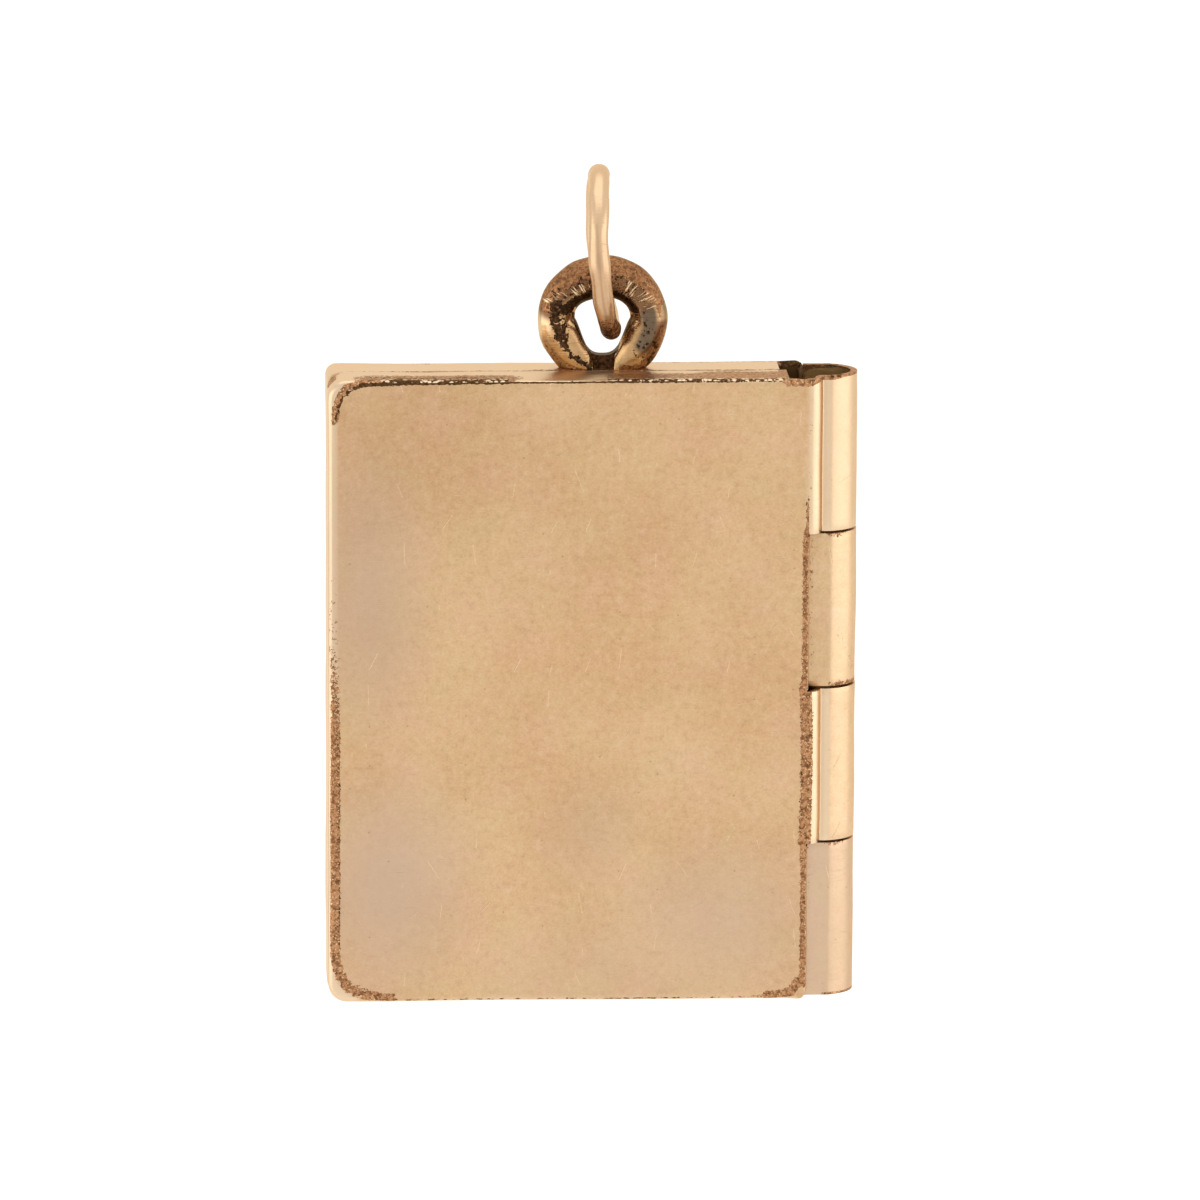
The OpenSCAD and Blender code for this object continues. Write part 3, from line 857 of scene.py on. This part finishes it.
# on the bail, the layer that brightens the metal also carries a painted highlight on the left flank, the
# browning layer a painted dark reflection on the crown, and the dark layer painted shade in the hole and at
# the slot
paint(bail, wear=[strongest(q, TARNISH) - g for q, g in zip(bail_spots, grey)],
      soot=[strongest(q, BLACK) for q in bail_spots], blush=[1.2 * g for g in grey],
      beads=[strongest(q, GLINTS) for q in bail_spots],
      polish=[max(0.12, strongest(q, FLANK_HIGHLIGHT)) for q in bail_spots],
      shade=[strongest(q, BROWNED_AND_DARK_REFLECTION) for q in bail_spots])

# the marks on the crown run out from the hole: about fourteen to the millimetre round, long outward
MARKS = 14
flow = bail.data.attributes.new("flow", "FLOAT_VECTOR", "POINT")
for spot, (x, z) in zip(flow.data, bail_spots):
    spot.vector = (MARKS * 1.7 * math.atan2(x, z), 1.5 * math.hypot(x, z), 0)
bail.data.materials.append(aged_gold("tarnished bail gold", BAIL_GOLD, 0.24, 0.22, streaked=True))
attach(bail, "back")
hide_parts("back_cover")

# a thin web of metal closes the slot behind the two lobes, hollowed on top, painted black for
# dirt and for painted shade deep in the slot
WEB_STEPS = 12
WEB_HALF = 0.62
WEB_DEPTH = 0.3
WEB_TOP = -1.42
WEB_HOLLOW = 0.16
web_points, web_faces = [], []
for i in range(WEB_STEPS + 1):
    x = -WEB_HALF + 2 * WEB_HALF * i / WEB_STEPS
    top = WEB_TOP + WEB_HOLLOW * (abs(x) / 0.5) ** 3
    web_points += [(x, -WEB_DEPTH, BAIL_FOOT), (x, -WEB_DEPTH, top)]
    web_points += [(x, WEB_DEPTH, top), (x, WEB_DEPTH, BAIL_FOOT)]
for i in range(WEB_STEPS):
    for j in range(4):
        n = (j + 1) % 4
        web_faces.append((4 * i + j, 4 * i + n, 4 * i + 4 + n, 4 * i + 4 + j))
web_count = len(web_points)
web_faces += [(0, 1, 2, 3), tuple(web_count - k for k in (1, 2, 3, 4))]
web = solid_piece("bail_web", [Vector((BAIL_X + x, y, BAIL_Z + z)) * MM for x, y, z in web_points], web_faces)
web.data.shade_flat()
web_paint = {"wear": 0.35, "soot": 0.85, "blush": 0, "beads": 0, "polish": 0, "shade": 0.6}
paint(web, **{name: [value] * web_count for name, value in web_paint.items()})
web.data.materials.append(bail.data.materials[0])
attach(web, "back")
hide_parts("back_cover")

# Front cover
# The same pan turned over, with the first and third knuckle rolled from its sheet. The
# gold is rubbed through to copper brown along its edges, and dirt sits in the pits.

# where it is worn, in millimetres from its open edge and its top, as is all below
FRONT_WEAR = [
    ([(1.6, -0.6), (7.1, -0.6)], 0.5, 0.35, 0.66, 0.72), ([(11.6, -0.9), (16.6, -0.9)], 0.45, 0.35, 0.7, 0.8),
    ([(15.4, -1.0), (19.2, -0.9)], 0.7, 0.3, 0.9, 0.95), ([(18.2, -0.2), (19.6, -0.2)], 0.3, 0.12, 0.85, 0.9),
    ([(-1.6, -0.3), (-0.8, -0.9)], 0.5, 0.2, 0.88, 0.88),
    ([(0.25, 1.62), (0.31, 1.05), (0.45, 0.62), (0.68, 0.3), (1.0, 0.1), (1.5, 0.0), (2.2, -0.06)],
     0.11, 0.1, 0.75, 0.95),
    ([(0.2, 7.4), (0.24, 11.4)], 0.12, 0.16, 0.2, 0.42),
    ([(0.22, 11.2), (0.24, 13.8)], 0.14, 0.14, 0.44, 0.74),
    ([(0.24, 13.6), (0.24, 16.5)], 0.16, 0.12, 0.74, 0.88),
    ([(0.24, 16.3), (0.24, 23.4)], 0.16, 0.12, 0.88, 0.95),
    ([(0.24, 23.3), (0.4, 24.1), (0.82, 24.72), (1.5, 25.02), (2.5, 25.14)], 0.15, 0.12, 0.95, 0.9),
    ([(2.3, 25.2), (6.0, 25.25)], 0.03, 0.08, 0.5, 0.2), ([(16.2, 25.2), (17.7, 25.2)], 0.06, 0.1, 0.3, 0.6),
    ([(17.5, 25.18), (18.5, 25.05), (18.95, 24.5)], 0.14, 0.12, 0.8, 0.9),
    ([(19.2, 0.4), (19.2, 4.6)], 0.04, 0.08, 0.2, 0.34), ([(19.12, 4.8), (19.08, 6.1)], 0.04, 0.06, 0.6, 0.8),
    ([(19.04, 6.2), (19.02, 12.5)], 0.11, 0.08, 0.72, 0.78),
    ([(19.08, 12.4), (19.12, 15.5), (19.08, 18.9)], 0.2, 0.1, 0.9, 0.9),
    ([(19.06, 18.9), (19.04, 24.7)], 0.12, 0.09, 0.74, 0.8),
    ([(19.36, 13.4), (19.34, 18.6)], 0.03, 0.06, 0.45, 0.3),
]

# where it is dirty
FRONT_SOOT = [
    ([(1.3, 0.12), (4.2, 0.03), (7.2, 0.02)], 0.06, 0.08, 0.85, 0.95),
    ([(7.0, 0.02), (11.6, 0.02)], 0.03, 0.06, 0.95, 0.9),
    ([(11.5, 0.02), (16.4, 0.02)], 0.04, 0.08, 0.8, 0.7),
    ([(2.2, -0.2), (7.0, -0.2)], 0.22, 0.1, 0.7, 0.7), ([(7.6, -0.4), (11.4, -0.5)], 0.3, 0.2, 0.16, 0.2),
    ([(11.5, -0.25), (17.9, -0.2)], 0.22, 0.1, 0.66, 0.6),
    ([(0.31, 1.6), (0.38, 1.1), (0.54, 0.7), (0.8, 0.4), (1.12, 0.22), (1.6, 0.11), (2.2, 0.05)],
     0.03, 0.07, 0.75, 0.85),
    ([(1.8, -0.55), (7.0, -0.6)], 0.3, 0.3, 0.36, 0.4), ([(0.42, 12.0), (0.43, 23.0)], 0.02, 0.08, 0.35, 0.5),
    ([(0.02, 8.5), (0.02, 13.0)], 0.01, 0.06, 0.3, 0.4),
    ([(18.9, 6.3), (18.88, 12.5)], 0.01, 0.05, 0.75, 0.6),
    ([(18.9, 12.5), (18.9, 18.9)], 0.02, 0.07, 0.68, 0.68),
    ([(18.89, 18.9), (18.88, 24.6)], 0.01, 0.05, 0.3, 0.5),
    ([(19.2, 12.15), (19.45, 12.3)], 0.04, 0.08, 0.9, 0.7),
    ([(20.0, 0.02), (20.6, 0.02)], 0.03, 0.05, 0.5, 0.5), ([(3, 25.28), (17, 25.26)], 0.02, 0.05, 0.5, 0.5),
]

# where the edge has broken into bright beads
FRONT_BEADS = [
    ([(2.4, -0.18), (7.0, -0.2)], 0.16, 0.08, 1, 1), ([(11.7, -0.2), (18.0, -0.2)], 0.15, 0.08, 1, 1),
]


def front_wear(p):
    """How far the front cover's gold is rubbed through at a point: by the strokes, and along
    the cut top end of its first knuckle."""
    u, z = p[0], p[2]
    value = strongest(unrolled(p), FRONT_WEAR)
    if u > -AXIS_OUT - 1.2:
        rubbed = 0.05 + 0.07 * smooth((1.0 - u) / 0.6) * smooth((u + AXIS_OUT + 1.2) / 0.4)
        rubbed += 0.11 * smooth((-0.1 - u) / 0.4) * smooth((u + AXIS_OUT + 1.2) / 0.3)
        value = max(value, 0.92 * (1 - smooth((COVER_H - z - rubbed) / 0.06)))
    return 0.3 * value if turned_down(p, 0) else value


def front_soot(p):
    """How much dirt the front cover has at a point."""
    return EDGE_SOOT if turned_down(p, 0) else strongest(unrolled(p), FRONT_SOOT)


front_cover, front_local = cover_mesh("front_cover_sheet", 0, OPEN_CORNER, FAR_WALL, NEAR_WALL, -1)
dress_cover(front_cover, front_local, front_wear, front_soot, FRONT_BEADS, (0.04, 0, 0, 0), 0)
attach(front_cover, "front")
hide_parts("front_cover")

# Hinge pin
# A plain drawn brass rod, hidden inside the knuckles and dark with age. It is the packed
# solid itself, and only its material is set here.
PIN_BRASS = {
    "face": "#8A6238", "pale": "#96703F", "pink": "#8C6040", "green": "#7E6A3C", "rim": "#A07848",
    "copper": "#6A4A30", "brown": "#4E3822", "dark": "#2E2014", "tint": "#8A6238", "burnt": "#3E2A1A",
    "flake": "#96703F",
}
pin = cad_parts["hinge_pin"]
pin.data.materials.clear()
pin.data.materials.append(aged_gold("drawn brass pin", PIN_BRASS, 0.4, 0.35))

# Jump ring
# Round gold-filled wire bent to a ring, with its two cut ends left just open at the
# bottom. It leans towards the spine, and its front strand bows a little.
RING_R = 3.1
WIRE_R = 0.4
RING_Z = -2.7
RING_LEAN = 0.52
RING_BOW = 0.2

# degrees that the joint is open, and that it lies round from the bottom
RING_OPEN = 8
RING_TURN = 8
RING_STEPS = 220
WIRE_SIDES = 40

# rounding of a cut end: the share of the wire's radius, and how far on it lies
WIRE_END = ((1, 0), (0.985, 0.012), (0.93, 0.035), (0.7, 0.07))


def ring_path(a):
    """Centre of the wire at angle a from the top, towards the front."""
    drop = (1 - math.cos(a)) / 2
    return Vector((RING_LEAN * drop ** 3 - RING_BOW * max(0, math.sin(a)), -RING_R * math.sin(a),
                   RING_Z + RING_R * math.cos(a)))


def ring_mesh():
    """The wire as points and faces in millimetres, and for each point its angle round the ring
    and round the wire."""
    start = math.radians(-180 + RING_OPEN / 2 - RING_TURN)
    end = start + math.radians(360 - RING_OPEN)
    points, faces, places = [], [], []
    for i in range(1 - len(WIRE_END), RING_STEPS + len(WIRE_END)):
        a = start + (end - start) * min(RING_STEPS, max(0, i)) / RING_STEPS
        share, on = WIRE_END[max(0, -i, i - RING_STEPS)]
        slide = -on if i < 0 else on
        radius = WIRE_R * share
        here = ring_path(a)
        ahead = (ring_path(a + 0.01) - ring_path(a - 0.01)).normalized()
        outward = Vector((0, -math.sin(a), math.cos(a)))
        side = ahead.cross(outward).normalized()
        outward = side.cross(ahead).normalized()
        for j in range(WIRE_SIDES):
            t = 2 * math.pi * j / WIRE_SIDES
            points.append(here + ahead * slide + radius * (math.cos(t) * outward + math.sin(t) * side))
            places.append((a, t))
    rings = len(points) // WIRE_SIDES
    for i in range(rings - 1):
        row, after = i * WIRE_SIDES, (i + 1) * WIRE_SIDES
        for j in range(WIRE_SIDES):
            n = (j + 1) % WIRE_SIDES
            faces.append((row + j, after + j, after + n, row + n))
    faces.append(tuple(range(WIRE_SIDES)))
    faces.append(tuple(reversed(range((rings - 1) * WIRE_SIDES, rings * WIRE_SIDES))))
    return points, faces, places


ring_points, ring_faces, ring_places = ring_mesh()
ring = solid_piece("jump_ring_wire", [p * MM for p in ring_points], ring_faces, 0.06, 5)

# drawn wire with a gold skin: a little yellower and glossier than the sheet
WIRE_GOLD = {
    "face": "#C09A6E", "pale": "#CCA880", "pink": "#C99E7C", "green": "#B89C6A", "rim": "#DEC29A",
    "copper": "#BC8A62", "brown": "#85583A", "dark": "#3E281A", "tint": "#CFA98E", "burnt": "#5A3A24",
    "flake": "#D2AC84",
}

# brown lines and painted shade along the middle of the wire's front side, which faces the
# camera: steps of 20 degrees round the ring, and radians round the wire
RING_LINE_AND_SHADE = [
    ([(3.2, 0.25), (4.2, 0.1), (6.4, -0.1)], 0.04, 0.2, 0.25, 0.55),
    ([(3.6, -0.6), (6.0, -0.45)], 0.02, 0.2, 0.2, 0.3),
]
round_ring = [math.degrees(a) for a, t in ring_places]
lines_and_shade = [strongest((math.degrees(a) / 20, (t + math.pi) % (2 * math.pi) - math.pi), RING_LINE_AND_SHADE)
         for a, t in ring_places]
# the shade layer carries the brown lines and the painted shade along the wire's front
paint(ring, wear=[0.78 * smooth((d - 110) / 45) for d in round_ring],
      soot=[0.58 * smooth((d - 120) / 30) for d in round_ring],
      beads=[0 for d in round_ring], blush=[0.4 for d in round_ring],
      shade=[max(line, 0.16 * smooth((d - 50) / 30)) for d, line in zip(round_ring, lines_and_shade)],
      polish=[0.75 - 0.5 * smooth((d - 60) / 60) for d in round_ring])
ring.data.materials.append(aged_gold("drawn gold wire", WIRE_GOLD, 0.3, 0.27))
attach(ring, "ring")
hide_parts("jump_ring")

# Floor, light and camera
# A plain white table top far below the hanging locket, one large soft light on each side
# and one above, and a long lens a little to the left and above.
bpy.ops.mesh.primitive_plane_add(size=6, location=(0, 0, -0.12))
floor = bpy.context.object
floor.name = "floor"

# painted board, white and without gloss
table = bpy.data.materials.new("matt white table")
table.use_nodes = True
table.node_tree.nodes["Principled BSDF"].inputs["Base Color"].default_value = hex_linear("#F9F9F8")
table.node_tree.nodes["Principled BSDF"].inputs["Roughness"].default_value = 0.9
floor.data.materials.append(table)


def soft_light(name, where, size, power):
    """A rectangular light turned towards the locket, and not seen by the camera itself."""
    lamp = bpy.data.lights.new(name, "AREA")
    lamp.shape = "RECTANGLE"
    lamp.size, lamp.size_y = size
    lamp.energy = power
    made = bpy.data.objects.new(name, lamp)
    made.location = where
    made.rotation_mode = "QUATERNION"
    made.rotation_quaternion = (Vector((0, 0, -0.02)) - Vector(where)).to_track_quat("-Z", "Y")
    made.visible_camera = False
    bpy.context.scene.collection.objects.link(made)


soft_light("left window", (-0.36, -0.12, 0.03), (0.5, 0.3), 0.42)
soft_light("right window", (0.36, -0.12, 0.03), (0.5, 0.3), 0.42)
soft_light("overhead", (0, 0.1, 0.6), (0.7, 0.6), 0.8)

azimuth, elevation, roll = math.radians(-3), math.radians(11.5), math.radians(0.25)
distance, frame_width, sensor = 0.43, 0.04815, 36
aim = Vector((0.0001, 0, -0.01686))
away = Vector((math.sin(azimuth) * math.cos(elevation), -math.cos(azimuth) * math.cos(elevation),
               math.sin(elevation)))
camera = bpy.data.objects.new("camera", bpy.data.cameras.new("camera"))
camera.location = aim + away * distance
camera.rotation_mode = "QUATERNION"
camera.rotation_quaternion = (-away).to_track_quat("-Z", "Y") @ Quaternion((0, 0, 1), roll)
camera.data.sensor_width = sensor
camera.data.lens = sensor * distance / frame_width
camera.data.clip_start = 0.01
bpy.context.scene.collection.objects.link(camera)
bpy.context.scene.camera = camera

world = bpy.data.worlds.new("white room")
world.use_nodes = True
world.node_tree.nodes["Background"].inputs["Color"].default_value = (1, 1, 1, 1)
world.node_tree.nodes["Background"].inputs["Strength"].default_value = 1.08
bpy.context.scene.world = world
bpy.context.scene.view_settings.view_transform = "Standard"
